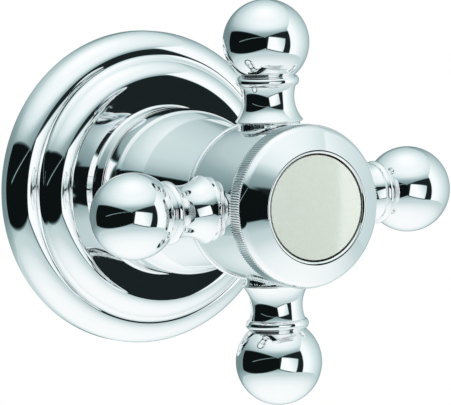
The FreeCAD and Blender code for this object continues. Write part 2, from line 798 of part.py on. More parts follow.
# ---------------------------------------------------------------- check and write
doc.recompute()
for item in doc.Objects:
    faults = {"Invalid", "Error"} & set(item.State)
    assert not faults, f"{item.Name} is {faults}"
for piece in pieces:
    shape = piece.Shape
    assert not shape.isNull() and shape.isValid(), f"{piece.Label} has no valid shape"
    shape.exportStep(f"parts/{piece.Label}.step")
    box = shape.optimalBoundingBox()
    print(f"{piece.Label:20s} solids {len(shape.Solids)}  volume {shape.Volume:9.1f}"
          f"  Y {box.YMin:7.2f} {box.YMax:7.2f}  X {box.XMin:7.2f} {box.XMax:7.2f}  Z {box.ZMin:7.2f} {box.ZMax:7.2f}")
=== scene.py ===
# %% [markdown]
# # Cross handle tap
# The packed model comes in as a frame of exact pieces. Nearly all that shows from outside is
# polished chrome, and chrome is a mirror: a facet that would be harmless on plastic is plain to see
# in it. So each plated piece is made again here from its own sizes, at a much finer grain, and
# stands in for its CAD node. The brass, steel, rubber and plastic inside keep their CAD meshes and
# only get a finish.

import json
import math

import bmesh
import bpy
import numpy as np
from mathutils import Matrix, Vector


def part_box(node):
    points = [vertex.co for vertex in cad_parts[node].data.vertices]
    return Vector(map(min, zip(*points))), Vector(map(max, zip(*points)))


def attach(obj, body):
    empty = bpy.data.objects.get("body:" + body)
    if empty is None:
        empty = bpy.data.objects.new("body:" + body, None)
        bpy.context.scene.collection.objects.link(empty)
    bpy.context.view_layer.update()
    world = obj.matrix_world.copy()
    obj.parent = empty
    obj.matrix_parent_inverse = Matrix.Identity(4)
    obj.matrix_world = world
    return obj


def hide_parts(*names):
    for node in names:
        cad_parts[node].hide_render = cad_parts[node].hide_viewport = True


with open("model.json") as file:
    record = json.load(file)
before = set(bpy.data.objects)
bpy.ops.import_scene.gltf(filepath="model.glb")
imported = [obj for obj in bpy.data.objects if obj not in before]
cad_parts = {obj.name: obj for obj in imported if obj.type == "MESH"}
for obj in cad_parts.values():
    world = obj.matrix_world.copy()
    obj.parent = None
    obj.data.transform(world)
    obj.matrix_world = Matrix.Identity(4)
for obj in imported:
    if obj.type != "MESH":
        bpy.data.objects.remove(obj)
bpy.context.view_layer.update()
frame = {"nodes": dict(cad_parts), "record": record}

# %% [markdown]
# ## Sizes
# The places of the pieces are read from the frame, so they can't drift from the CAD model. `span`
# gives how far a node reaches from the wall, along the tap's axis, which runs towards -Y. Sizes are
# written in millimetres, and `mm` turns them into Blender's metres.

# %% Read the places of the pieces
mm = 0.001


def span(node):
    """How far a node's back and front stand from the wall, in millimetres."""
    low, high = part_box(node)
    return -high[1] / mm, -low[1] / mm


def radius_of(node):
    """Half of a turned node's width, in millimetres."""
    low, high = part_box(node)
    return (high[0] - low[0]) / 2 / mm


flange_radius = radius_of("wall_flange")
collar_top = span("wall_flange")[1]
sleeve_back, sleeve_front = span("bonnet_sleeve")
hub_back, hub_front = span("handle_hub")
cap_back, cap_front = span("knurled_cap")
disc_back, disc_front = span("index_disc")
arm_plane = sum(span("arm_top")) / 2
boss_reach = radius_of("handle_hub")
ball_radius = radius_of("arm_top")
ball_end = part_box("arm_top")[1][2] / mm
ball_centre = ball_end - ball_radius
cap_radius = radius_of("knurled_cap")
disc_radius = radius_of("index_disc")
print("flange", flange_radius, "arm plane", arm_plane, "ball", ball_radius, "at", ball_centre)

# %% [markdown]
# ## Camera
# The camera was matched to the photograph: a long lens a metre away, about 31 degrees to the left
# of the tap's axis, a little above it and slightly rolled. A long lens keeps the near and far balls
# almost the same size. Aiming the camera with a Track To constraint would be shorter, but it has no
# roll, so the three directions of its frame are worked out here.

# %% Place the camera
camera_azimuth = math.radians(-30.675)
camera_elevation = math.radians(5.638)
camera_roll = math.radians(-2.385)
camera_distance = 1.0
camera_target = Vector((-0.75, -35.0, -0.994)) * mm
camera_lens = 413.2

camera_back = Vector((
    math.sin(camera_azimuth) * math.cos(camera_elevation),
    -math.cos(camera_azimuth) * math.cos(camera_elevation),
    math.sin(camera_elevation),
))
level_right = Vector((math.cos(camera_azimuth), math.sin(camera_azimuth), 0))
level_up = camera_back.cross(level_right)
camera_right = level_right * math.cos(camera_roll) + level_up * math.sin(camera_roll)
camera_up = level_up * math.cos(camera_roll) - level_right * math.sin(camera_roll)

camera = bpy.data.objects.new("camera", bpy.data.cameras.new("camera"))
bpy.context.scene.collection.objects.link(camera)
bpy.context.scene.camera = camera
camera.data.lens = camera_lens
camera.data.clip_end = 20
turn = Matrix((camera_right, camera_up, camera_back)).transposed().to_4x4()
camera.matrix_world = Matrix.Translation(camera_target + camera_back * camera_distance) @ turn
print("camera at", [round(c, 3) for c in camera.location])

# %% [markdown]
# ## Writing shaders as sums
# A node tree is easier to read as arithmetic than as a list of nodes and links. `Field` wraps a
# socket, so that `1 - field * 2` adds the Math nodes by itself.

# %% A shader value that can be used in a sum
class Field:
    """A shader value, with the signs of arithmetic as nodes."""

    def __init__(self, graph, socket):
        self.graph, self.socket = graph, socket

    def math(self, operation, *others):
        return self.graph.node("ShaderNodeMath", {"operation": operation},
                               dict(enumerate((self, *others))))

    def __add__(self, other):
        return self.math("ADD", other)

    def __sub__(self, other):
        return self.math("SUBTRACT", other)

    def __mul__(self, other):
        return self.math("MULTIPLY", other)

    def __truediv__(self, other):
        return self.math("DIVIDE", other)

    def __rsub__(self, other):
        return self.graph.node("ShaderNodeMath", {"operation": "SUBTRACT"}, {0: other, 1: self})

    __radd__ = __add__
    __rmul__ = __mul__

    def clamp(self):
        return self.graph.node("ShaderNodeClamp", {}, {"Value": self})

    def above(self, edge, blur):
        """1 where the value lies above an edge, fading over `blur`."""
        return ((self - edge) / blur + 0.5).clamp()

    def below(self, edge, blur):
        """1 where the value lies below an edge, fading over `blur`."""
        return ((edge - self) / blur + 0.5).clamp()

    def between(self, low, high, blur):
        """1 where the value lies between two edges, fading over `blur` at each."""
        return self.above(low, blur) * self.below(high, blur)

    def mix(self, other, share):
        """This value, turning into another as the share goes from 0 to 1."""
        return self.graph.node("ShaderNodeMix", {"data_type": "FLOAT"},
                               {0: share, 2: self, 3: other})


print("reflected signs", [name for name in vars(Field) if name.startswith("__r")])

# %% [markdown]
# Every other node comes from one method, `Graph.node`. It takes the node's type, its settings, and
# the values or links of its sockets.

# %% A tree that nodes are added to
class Graph:
    """Adds nodes to a material's or the world's tree."""

    def __init__(self, owner):
        owner.use_nodes = True
        self.tree = owner.node_tree
        self.tree.nodes.clear()

    def node(self, kind, settings, inputs, output=0):
        made = self.tree.nodes.new(kind)
        for name, value in settings.items():
            if name == "stops":
                self.set_stops(made.color_ramp, value)
            else:
                setattr(made, name, value)
        for name, value in inputs.items():
            if isinstance(value, Field):
                self.tree.links.new(value.socket, made.inputs[name])
            elif value is not None:
                made.inputs[name].default_value = value
        return Field(self, made.outputs[output]) if made.outputs else made

    @staticmethod
    def set_stops(ramp, stops):
        while len(ramp.elements) < len(stops):
            ramp.elements.new(1.0)
        for element, (place, colour) in zip(ramp.elements, stops):
            element.position = place
            element.color = (*colour, 1)

    def axes(self, vector):
        """The three parts of a vector."""
        parts = self.tree.nodes.new("ShaderNodeSeparateXYZ")
        self.tree.links.new(vector.socket, parts.inputs[0])
        return [Field(self, parts.outputs[axis]) for axis in range(3)]


def grey(shade):
    return (shade, shade, shade)


def from_screen(red, green, blue):
    """A colour as it is seen on screen, 0 to 255, turned into light."""
    parts = [channel / 255 for channel in (red, green, blue)]
    return tuple(c / 12.92 if c <= 0.04045 else ((c + 0.055) / 1.055) ** 2.4 for c in parts)


print("half of the screen's range is", round(from_screen(128, 128, 128)[0], 3), "of its light")

# %% [markdown]
# ## The studio
# Chrome shows nothing but the room round it, so the room is most of its finish. The room could be
# built from walls and lamps, or loaded as a picture. Here it is drawn straight onto the world by
# direction: no lamp needs a place, it is the same from every view, and each part of it keeps a few
# named sizes. It starts as a white tent, brightest overhead and underfoot and dimmer at the tap's
# own height, whose front wall is brighter than its back wall.

# %% Hang the tent
world = bpy.data.worlds.new("studio")
bpy.context.scene.world = world
room = Graph(world)
direction = room.node("ShaderNodeTexCoord", {}, {}, "Generated")
east, north, up = room.axes(direction)
height = up * 0.5 + 0.5

# 1 in front and 0 behind, with the fold between the two walls turned a little to the left
turn_left, fade_back = 0.17, 0.47
facing = (0.5 - east * turn_left - north * fade_back).clamp()


def tent_wall(stops):
    """The tent's brightness by height, from straight down, -90, to straight up, 90."""
    places = [((math.sin(math.radians(angle)) + 1) / 2, grey(shade)) for angle, shade in stops]
    return room.node("ShaderNodeValToRGB", {"stops": places}, {"Fac": height})


front_wall = tent_wall([(-90, 0.98), (-60, 0.97), (-45, 0.93), (-25, 0.80), (-12, 0.62),
                        (15, 0.50), (28, 0.66), (38, 0.90), (50, 0.985), (90, 1.0)])
back_wall = tent_wall([(-90, 0.97), (-50, 0.90), (-25, 0.74), (-12, 0.51), (11, 0.51), (20, 0.62),
                       (29, 0.75), (46, 0.78), (62, 0.85), (80, 0.96), (90, 1.0)])
tent = back_wall.mix(front_wall, facing)
print("tent nodes", len(room.tree.nodes))

# %% [markdown]
# What makes the tap look like chrome is the dark and bright openings in the tent. Each one is drawn
# on a wall of a room whose walls stand one unit away, so its sizes are lengths on that wall. The
# first is a dark doorway on the left, with a thin strip of light in it that slopes down to the back.

# %% Open the doorway
least_depth = 0.001
soft_edge = 0.05


def wall_view(towards, sideways):
    """How far along and how high a direction meets a wall, and 1 on that wall's side."""
    depth = towards.math("MAXIMUM", least_depth)
    return sideways / depth, up / depth, (depth / least_depth - 1).clamp()


left_across, left_up, left_side = wall_view(-1 * east, north)
doorway_near, doorway_far = -1.73, 1.45
doorway_foot, doorway_head = -0.404, 0.51
doorway = (
    left_up.between(doorway_foot, doorway_head, soft_edge)
    * left_across.between(doorway_near, doorway_far, soft_edge)
    * left_side
)

strip_near, strip_far = -1.2, 0.3
strip_up, strip_slope = 0.155, 0.29
strip_half, strip_edge = 0.013, 0.012
strip_line = left_up + left_across * strip_slope - strip_up
strip = (
    strip_line.between(-strip_half, strip_half, strip_edge)
    * left_across.between(strip_near, strip_far, soft_edge)
)
doorway_dark, strip_glow = 0.055, 0.55
doorway_shade = doorway_dark + strip * strip_glow
print("doorway", round(doorway_head - doorway_foot, 3), "high")

# %% [markdown]
# The tent is open in front, where the camera stands. That front is dark and gets taller towards the
# right. A bright window card hangs in it, tilted, a little darker towards its upper right corner.

# %% Open the front and hang the card
front_across, front_up, front_side = wall_view(-1 * north, east)
front_left, front_right = -0.62, 0.75
front_head, head_slope = 0.455, 0.155
front_foot, foot_slope = -0.41, 0.21
front_dark = 0.11
camera_front = (
    front_across.between(front_left, front_right, soft_edge)
    * (front_up - front_across * head_slope).below(front_head, soft_edge)
    * (front_up + front_across * foot_slope).above(front_foot, soft_edge)
    * front_side
)

card_tilt = math.radians(12)
card_place, card_up = -0.06, -0.046
card_half_width, card_half_height, card_edge = 0.43, 0.31, 0.04
card_across, card_rise = front_across - card_place, front_up - card_up
card_x = card_across * math.cos(card_tilt) - card_rise * math.sin(card_tilt)
card_y = card_across * math.sin(card_tilt) + card_rise * math.cos(card_tilt)
window_card = (
    card_x.between(-card_half_width, card_half_width, card_edge)
    * card_y.between(-card_half_height, card_half_height, card_edge)
    * front_side
)
card_bright, card_fall = 0.98, 0.35
card_shade = card_bright - (card_x + card_y * 0.6).clamp() * card_fall
print("card", 2 * card_half_width, "wide and", 2 * card_half_height, "high")

# %% [markdown]
# A large soft lamp on the right gives every ball its pale side. It fades towards the back.

# %% Hang the side lamp
right_across, right_up, right_side = wall_view(east, north)
lamp_near, lamp_far, lamp_side_edge = -1.33, 1.4, 0.12
lamp_foot, lamp_head, lamp_edge = -0.88, 0.92, 0.08
side_lamp = (
    right_across.between(lamp_near, lamp_far, lamp_side_edge)
    * right_up.between(lamp_foot, lamp_head, lamp_edge)
    * right_side
)
lamp_bright, lamp_fall, fall_start = 0.97, 0.2, -0.7
lamp_shade = lamp_bright - ((right_across - fall_start) * lamp_fall).clamp()
print("side lamp", round(lamp_head - lamp_foot, 2), "high")

# %% [markdown]
# So far the room is only brightness. A ramp turns it into the cool greys of the photograph, and the
# camera itself sees plain white, so that only reflections show the room.

# %% Colour the room
shade = (
    tent.mix(lamp_shade, side_lamp)
    .mix(front_dark, camera_front)
    .mix(card_shade, window_card)
    .mix(doorway_shade, doorway)
)
tones = [
    (0.0, from_screen(4, 8, 9)), (0.08, from_screen(15, 20, 21)),
    (0.25, from_screen(52, 66, 68)), (0.5, from_screen(110, 132, 134)),
    (0.65, from_screen(148, 170, 172)), (0.8, from_screen(196, 213, 214)),
    (0.92, from_screen(233, 242, 243)), (1.0, from_screen(255, 255, 255)),
]
room_strength = 1.08
room_light = room.node("ShaderNodeValToRGB", {"stops": tones}, {"Fac": shade})
studio = room.node("ShaderNodeBackground", {}, {"Color": room_light, "Strength": room_strength})
white = room.node("ShaderNodeBackground", {}, {"Color": (1, 1, 1, 1), "Strength": 1.0})
seen_by_camera = room.node("ShaderNodeLightPath", {}, {}, "Is Camera Ray")
sky = room.node("ShaderNodeMixShader", {}, {0: seen_by_camera, 1: studio, 2: white})
room.node("ShaderNodeOutputWorld", {}, {"Surface": sky})
bpy.context.scene.view_settings.view_transform = "Standard"
print("world nodes", len(room.tree.nodes))

# %% [markdown]
# The painted room is mostly dark in front, so the disc, which is not a mirror, would be dull under
# it alone. Two wide soft lamps light it to the level at which its colour renders as it is written.
# They don't show in reflections, where the painted room already has its own lamps.

# %% Two soft lamps for what is not a mirror
soft_lamps = (
    # name, watts, width in metres, place
    ("soft_right", 15.0, 1.0, (1.0, -1.3, 0.6)),
    ("soft_front", 5.0, 1.2, (-0.4, -1.6, 0.9)),
)
for lamp_name, watts, wide, place in soft_lamps:
    lamp_data = bpy.data.lights.new(lamp_name, "AREA")
    lamp_data.energy, lamp_data.size = watts, wide
    lamp = bpy.data.objects.new(lamp_name, lamp_data)
    lamp.location = place
    lamp.rotation_euler = (-Vector(place)).to_track_quat("-Z", "Y").to_euler()
    lamp.visible_glossy = False
    bpy.context.scene.collection.objects.link(lamp)
    print(lamp_name, watts, "watts")

# %% [markdown]
# ## Finishes
# Each finish is one Principled shader. Real metal, rubber and plastic are never quite even, so a
# fine noise moves their colour, roughness and surface a little. What is the same all over is set on
# the shader itself, and only what changes over the surface comes from nodes.

# %% A finish with a fine unevenness
rough_spread = 0.2
bump_height = 0.02 * mm
glaze_roughness, glaze_ior = 0.05, 1.9


def finish(name, colour, roughness, grain, mottle, metallic=0.0, coat=0.0, bump=0.0):
    """A material whose colour and roughness vary a little, at `grain` to the metre."""
    material = bpy.data.materials.new(name)
    graph = Graph(material)
    place = graph.node("ShaderNodeTexCoord", {}, {}, "Object")
    cloud = graph.node("ShaderNodeTexNoise", {},
                       {"Vector": place, "Scale": grain, "Detail": 3.0, "Roughness": 0.55})
    low = [channel * (1 - mottle) for channel in colour]
    high = [min(1.0, channel * (1 + mottle)) for channel in colour]
    tint = graph.node("ShaderNodeValToRGB", {"stops": [(0.3, low), (0.7, high)]}, {"Fac": cloud})
    worn = roughness * (1 - rough_spread) + cloud * (roughness * rough_spread * 2)
    inputs = {"Base Color": tint, "Roughness": worn, "Metallic": metallic, "Coat Weight": coat,
              "Coat Roughness": glaze_roughness, "Coat IOR": glaze_ior}
    if bump:
        inputs["Normal"] = graph.node("ShaderNodeBump", {}, {
            "Strength": bump, "Distance": bump_height, "Height": cloud})
    shader = graph.node("ShaderNodeBsdfPrincipled", {}, inputs)
    graph.node("ShaderNodeOutputMaterial", {}, {"Surface": shader})
    return material


print("glaze roughness", glaze_roughness, "and index", glaze_ior)

# %% [markdown]
# Chrome plating is a bright metal with almost no roughness. The disc is porcelain: a dull ivory body
# under a clear glaze, which is the shader's coat. Machined brass, steel, lapped ceramic, rubber and
# foam are inside, and they are seen from behind or when the tap is taken apart. A picture of each
# material could be laid on instead, but it would need unwrapped pieces and shows nothing more here.

# %% Mix the finishes and put them on the CAD nodes
finishes = {
    "polished_chrome": finish("polished_chrome", (0.93, 0.94, 0.945), roughness=0.035,
                              grain=90.0, mottle=0.006, metallic=1.0),
    "porcelain": finish("porcelain", (0.675, 0.70, 0.625), roughness=0.22,
                        grain=1500.0, mottle=0.02, coat=1.0),
    "brass": finish("machined_brass", (0.72, 0.53, 0.24), roughness=0.24,
                    grain=900.0, mottle=0.06, metallic=1.0, bump=0.3),
    "steel": finish("stainless_steel", (0.56, 0.57, 0.58), roughness=0.3,
                    grain=1200.0, mottle=0.04, metallic=1.0, bump=0.2),
    "technical_ceramic": finish("lapped_ceramic", (0.86, 0.85, 0.82), roughness=0.3,
                                grain=800.0, mottle=0.02),
    "white_plastic": finish("white_acetal", (0.82, 0.82, 0.80), roughness=0.42,
                            grain=1500.0, mottle=0.02, bump=0.2),
    "black_rubber": finish("black_rubber", (0.025, 0.025, 0.026), roughness=0.6,
                           grain=2500.0, mottle=0.15, bump=0.6),
    "gasket_foam": finish("gasket_foam", (0.09, 0.09, 0.092), roughness=0.85,
                          grain=1800.0, mottle=0.3, bump=1.0),
}
slot_of = {part["node"]: part["material_slot"] for part in frame["record"]["subparts"]}
for name, node in frame["nodes"].items():
    node.data.materials.clear()
    node.data.materials.append(finishes[slot_of[name]])
print("finishes", len(finishes))

# %% [markdown]
# ## Outlines
# A turned piece is one outline spun round an axis. An outline is drawn anticlockwise in (radius,
# height) corners, with straight sides and arcs. An arc's swell is how far its middle stands out.
# Real plated edges are never quite sharp, so every corner is eased by about a tenth of a millimetre,
# which also gives it the thin bright line that an edge has. A Bevel modifier could ease the spun
# piece, but on the outline a corner is one point and not a ring of hundreds of edges.

# %% Draw outlines with straight sides and arcs
tiny = 1e-6
least_arc_steps = 6
gentle_bend = math.radians(14)
ease_points = 5
longest_share = 0.45


class Outline:
    """A closed outline of (radius, height) corners in millimetres."""

    def __init__(self, x, y):
        self.points = [(x, y)]

    def line(self, x, y):
        self.points.append((x, y))
        return self

    def arc(self, x, y, swell, step=0.12):
        """An arc to a corner, in pieces about as long as `step`."""
        x0, y0 = self.points[-1]
        chord = math.hypot(x - x0, y - y0)
        height = abs(swell)
        radius = chord ** 2 / (8 * height) + height / 2
        side = 1 if swell > 0 else -1
        left = (-(y - y0) / chord, (x - x0) / chord)
        centre_x = (x0 + x) / 2 + left[0] * side * (radius - height)
        centre_y = (y0 + y) / 2 + left[1] * side * (radius - height)
        first = math.atan2(y0 - centre_y, x0 - centre_x)
        sweep = side * 2 * math.asin(min(1.0, chord / 2 / radius))
        steps = max(least_arc_steps, math.ceil(abs(sweep) * radius / step))
        for index in range(1, steps):
            angle = first + sweep * index / steps
            self.points.append((centre_x + radius * math.cos(angle),
                                centre_y + radius * math.sin(angle)))
        return self.line(x, y)

    def ball(self, x, y, radius):
        """An outward arc of a given radius, less than half a turn."""
        x0, y0 = self.points[-1]
        half_chord = math.hypot(x - x0, y - y0) / 2
        return self.arc(x, y, radius - math.sqrt(radius ** 2 - half_chord ** 2))

    def eased(self, ease):
        """The outline with its corners rounded, except gentle bends and those on the axis."""
        eased, count = [], len(self.points)
        for index, corner in enumerate(self.points):
            here = Vector(corner)
            before = Vector(self.points[index - 1]) - here
            after = Vector(self.points[(index + 1) % count]) - here
            pinned = min(here.x, before.length, after.length) < tiny
            if pinned or math.pi - before.angle(after) < gentle_bend:
                eased.append(here)
                continue
            reach = min(ease, before.length * longest_share, after.length * longest_share)
            start, end = here + before.normalized() * reach, here + after.normalized() * reach
            for part in range(ease_points):
                share = part / (ease_points - 1)
                eased.append(start * (1 - share) ** 2 + here * 2 * share * (1 - share)
                             + end * share ** 2)
        return eased


square = Outline(1, 0).line(2, 0).line(2, 1).line(1, 1)
print("a square's outline has", len(square.eased(0.1)), "corners once it is eased")

# %% [markdown]
# ## The lathe
# Spinning an outline is a rule, so it is a Geometry Nodes tree: the outline's edges become a curve,
# which is swept round a tiny circle. Merging by distance closes the poles. A Screw modifier would
# spin it too, but a tree has its number of steps and its finish as named inputs, and every turned
# piece can use the same tree.

# %% Helpers for trees
def new_tree(name, sockets):
    """An empty Geometry Nodes tree with named inputs, and its input and output nodes."""
    tree = bpy.data.node_groups.new(name, "GeometryNodeTree")
    tree.interface.new_socket("Geometry", in_out="INPUT", socket_type="NodeSocketGeometry")
    for label, kind in sockets:
        tree.interface.new_socket(label, in_out="INPUT", socket_type=kind)
    tree.interface.new_socket("Geometry", in_out="OUTPUT", socket_type="NodeSocketGeometry")
    return tree, tree.nodes.new("NodeGroupInput"), tree.nodes.new("NodeGroupOutput")


def add(tree, kind, inputs=(), **settings):
    """One node with its settings, and its inputs linked or set."""
    node = tree.nodes.new(kind)
    for name, value in settings.items():
        setattr(node, name, value)
    for name, value in dict(inputs).items():
        if isinstance(value, bpy.types.NodeSocket):
            tree.links.new(value, node.inputs[name])
        else:
            node.inputs[name].default_value = value
    return node


def run_tree(name, mesh, tree, values):
    """Run a tree on a mesh and give the plain mesh that it makes."""
    carrier = bpy.data.objects.new(name, mesh)
    bpy.context.scene.collection.objects.link(carrier)
    modifier = carrier.modifiers.new("tree", "NODES")
    modifier.node_group = tree
    for item in tree.interface.items_tree:
        if item.in_out == "INPUT" and item.name in values:
            modifier[item.identifier] = values[item.name]
    shown = carrier.evaluated_get(bpy.context.evaluated_depsgraph_get())
    result = bpy.data.meshes.new_from_object(shown)
    bpy.data.objects.remove(carrier)
    return result


print("tree helpers", [helper.__name__ for helper in (new_tree, add, run_tree)])

# %% Build the lathe tree
hairline = 0.1 * mm
weld = 0.0001 * mm

lathe, given, made = new_tree("lathe", [("Steps", "NodeSocketInt"),
                                        ("Finish", "NodeSocketMaterial")])
outline_curve = add(lathe, "GeometryNodeMeshToCurve", {"Mesh": given.outputs["Geometry"]})
spindle_circle = add(lathe, "GeometryNodeCurvePrimitiveCircle",
                     {"Resolution": given.outputs["Steps"], "Radius": hairline}, mode="RADIUS")
spun = add(lathe, "GeometryNodeCurveToMesh",
           {"Curve": spindle_circle.outputs[0], "Profile Curve": outline_curve.outputs[0]})
joined = add(lathe, "GeometryNodeMergeByDistance", {"Geometry": spun.outputs[0], "Distance": weld})
whole = add(lathe, "GeometryNodeRealizeInstances", {"Geometry": joined.outputs[0]})
dressed = add(lathe, "GeometryNodeSetMaterial",
              {"Geometry": whole.outputs[0], "Material": given.outputs["Finish"]})
lathe.links.new(dressed.outputs[0], made.inputs[0])
print("lathe nodes", len(lathe.nodes))

# %% [markdown]
# The lathe turns each piece about its own axis. `turned` runs the tree, lays the result in its place
# and points its faces outwards, and `settle` gives it to its body in place of its CAD node.

# %% Turn a piece and settle it
sharp_angle = math.radians(35)
out_of_wall = Matrix.Rotation(math.radians(90), 4, "X")


def from_wall(distance):
    """The place of a piece whose own zero stands this far from the wall."""
    return Matrix.Translation((0, -distance * mm, 0)) @ out_of_wall


def tidy_mesh(mesh):
    """Point every face outwards and shade it smooth, but for the true corners."""
    work = bmesh.new()
    work.from_mesh(mesh)
    bmesh.ops.recalc_face_normals(work, faces=work.faces)
    if work.calc_volume(signed=True) < 0:
        bmesh.ops.reverse_faces(work, faces=work.faces)
    work.to_mesh(mesh)
    work.free()
    mesh.shade_smooth()
    mesh.set_sharp_from_angle(angle=sharp_angle)
    return mesh


def turned(name, outline, place, steps, ease, finish_name="polished_chrome"):
    """A turned piece as an object: its outline spun, eased and laid in place."""
    corners = [(x * mm - hairline, -y * mm, 0) for x, y in outline.eased(ease)]
    sides = [(index, (index + 1) % len(corners)) for index in range(len(corners))]
    flat = bpy.data.meshes.new(name)
    flat.from_pydata(corners, sides, [])
    mesh = run_tree(name, flat, lathe, {"Steps": steps, "Finish": finishes[finish_name]})
    mesh.transform(place)
    piece = bpy.data.objects.new(name, tidy_mesh(mesh))
    bpy.context.scene.collection.objects.link(piece)
    return piece


def limits(piece):
    """The lowest and highest corner of a mesh."""
    places = np.empty(len(piece.data.vertices) * 3)
    piece.data.vertices.foreach_get("co", places)
    places = places.reshape(-1, 3)
    return places.min(axis=0), places.max(axis=0)


def settle(piece, body, node):
    """Let a piece ride on its body and stand in for its CAD node."""
    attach(piece, body)
    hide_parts(node)
    size = [round((high - low) / mm, 2) for low, high in zip(*limits(piece))]
    print(piece.name, size, "mm,", len(piece.data.polygons), "faces")


# %% [markdown]
# ## Wall flange
# The flange hides the hole in the tiles. It is pressed or turned brass, plated: two rounded rings
# with a narrow cove between them, a flat dish, and a short collar that the sleeve stands in. As it
# is round all over, the lathe makes it from one outline, with more steps than a smaller piece needs.

# %% Turn the wall flange
flange_wall = 1.3
rim_height = 2.35
ring_width, ring_swell = 4.2, 1.0
cove_top, cove_depth = 7.6, 0.3
crest_centre, crest_width, crest_top, crest_swell = 20.9, 4.62, 10.93, 1.05
dish_fall = 0.05
seal_slip, collar_wall = 0.02, 1.9
collar_fillet, collar_hollow = 0.4, 0.12

ring_top = rim_height + ring_width
ring_inner = flange_radius - ring_width
crest_foot = crest_centre + crest_width
collar_bore = radius_of("sleeve_seal") + seal_slip
collar_radius = collar_bore + collar_wall
flange_outline = (
    Outline(flange_radius - flange_wall, 0)
    .line(flange_radius, 0)
    .line(flange_radius, rim_height)
    .arc(ring_inner, ring_top, ring_swell)
    .arc(crest_foot, cove_top, -cove_depth, step=0.05)
    .arc(crest_centre, crest_top, crest_swell)
    .line(collar_radius + collar_fillet, crest_top - dish_fall)
    .arc(collar_radius, crest_top + collar_fillet, -collar_hollow, step=0.04)
    .line(collar_radius, collar_top)
    .line(collar_bore, collar_top)
    .line(collar_bore, crest_top - flange_wall)
    .line(crest_centre, crest_top - flange_wall)
    .line(crest_foot - flange_wall, cove_top)
    .line(crest_foot - flange_wall, ring_top - flange_wall)
    .line(ring_inner, ring_top - flange_wall)
    .line(flange_radius - flange_wall, rim_height)
)
flange = turned("wall_flange_polished", flange_outline, from_wall(0), steps=384, ease=0.15)
settle(flange, "fixed", "wall_flange")

# %% [markdown]
# ## Sleeve
# The sleeve is a hollow turned shell that hides the headwork. Its plain tail stands in the flange's
# collar, with a groove for the seal, and screws onto the adaptor tube inside. What shows of it is a
# belly that narrows to a long taper. It is one outline too, drawn up the outside and down the bore.

# %% Turn the sleeve
tail_radius, tail_length = 14.5, 6.4
groove_floor, groove_foot, groove_top = 13.0, 2.4, 4.0
sleeve_foot_radius, waist_radius, sleeve_mouth_radius = 16.1, 14.72, 11.7
belly_length, belly_swell, taper_hollow = 12.0, 0.85, 0.1
thread_bore, thread_length = 10.45, 10.0
belly_bore, taper_bore, mouth_bore = 12.52, 10.6, 9.4
mouth_lip = 2.9

belly_top = tail_length + belly_length
sleeve_top = sleeve_front - sleeve_back
sleeve_outline = (
    Outline(thread_bore, 0)
    .line(tail_radius, 0)
    .line(tail_radius, groove_foot)
    .line(groove_floor, groove_foot)
    .line(groove_floor, groove_top)
    .line(tail_radius, groove_top)
    .line(tail_radius, tail_length)
    .line(sleeve_foot_radius, tail_length)
    .arc(waist_radius, belly_top, belly_swell, step=0.25)
    .arc(sleeve_mouth_radius, sleeve_top, -taper_hollow, step=0.4)
    .line(mouth_bore, sleeve_top)
    .line(mouth_bore, sleeve_top - mouth_lip)
    .line(taper_bore, sleeve_top - mouth_lip)
    .line(taper_bore, belly_top)
    .line(belly_bore, belly_top)
    .line(belly_bore, thread_length)
    .line(thread_bore, thread_length)
)
sleeve = turned("bonnet_sleeve_polished", sleeve_outline, from_wall(sleeve_back),
                steps=320, ease=0.15)
settle(sleeve, "fixed", "bonnet_sleeve")

# %% [markdown]
# ## Arms
# Each arm is a turned brass piece that is screwed into the hub by a stud: a flared root, a waisted
# neck, a bead and a ball. All four are the same, so one outline is turned four times and laid at
# four angles round the tap's axis. A ball from a sphere primitive would need a join at the bead.

# %% Turn the arms
seam = 0.06
stud_radius, stud_length = 2.5, 6.4
root_radius, root_round, root_swell = 6.45, 0.3, 0.087
neck_top_radius, neck_hollow = 5.4, 0.9
bead_radius, bead_width, bead_swell, bead_step = 5.6, 1.7, 0.42, 0.12
foot_radius = 5.2

root_foot = boss_reach + seam
stud_foot = boss_reach - stud_length
ball_foot = ball_centre - math.sqrt(ball_radius ** 2 - foot_radius ** 2)
bead_top = ball_foot - bead_step
bead_foot = bead_top - bead_width
arm_outline = (
    Outline(0, stud_foot)
    .line(stud_radius, stud_foot)
    .line(stud_radius, root_foot)
    .line(root_radius - root_round, root_foot)
    .arc(root_radius, root_foot + root_round, root_swell, step=0.05)
    .arc(neck_top_radius, bead_foot, -neck_hollow)
    .line(bead_radius, bead_foot)
    .arc(bead_radius, bead_top, bead_swell, step=0.05)
    .line(foot_radius, bead_top)
    .line(foot_radius, ball_foot)
    .ball(0, ball_end, ball_radius)
)
arm_angles = {"arm_right": 0, "arm_top": 90, "arm_left": 180, "arm_bottom": 270}
for arm_name, angle in arm_angles.items():
    outwards = Matrix.Rotation(math.radians(90 - angle), 4, "Y")
    place = Matrix.Translation((0, -arm_plane * mm, 0)) @ outwards
    arm = turned(f"{arm_name}_polished", arm_outline, place, steps=256, ease=0.08)
    settle(arm, "handle", arm_name)

# %% [markdown]
# ## Hub
# The hub is a barrel with four round bosses that flow into it. A boss is a cylinder across the
# barrel, so at each angle and height the surface is the higher of the two, blended where they meet.
# Working out that one distance for a fine grid gives the blend for free, which a boolean would not.

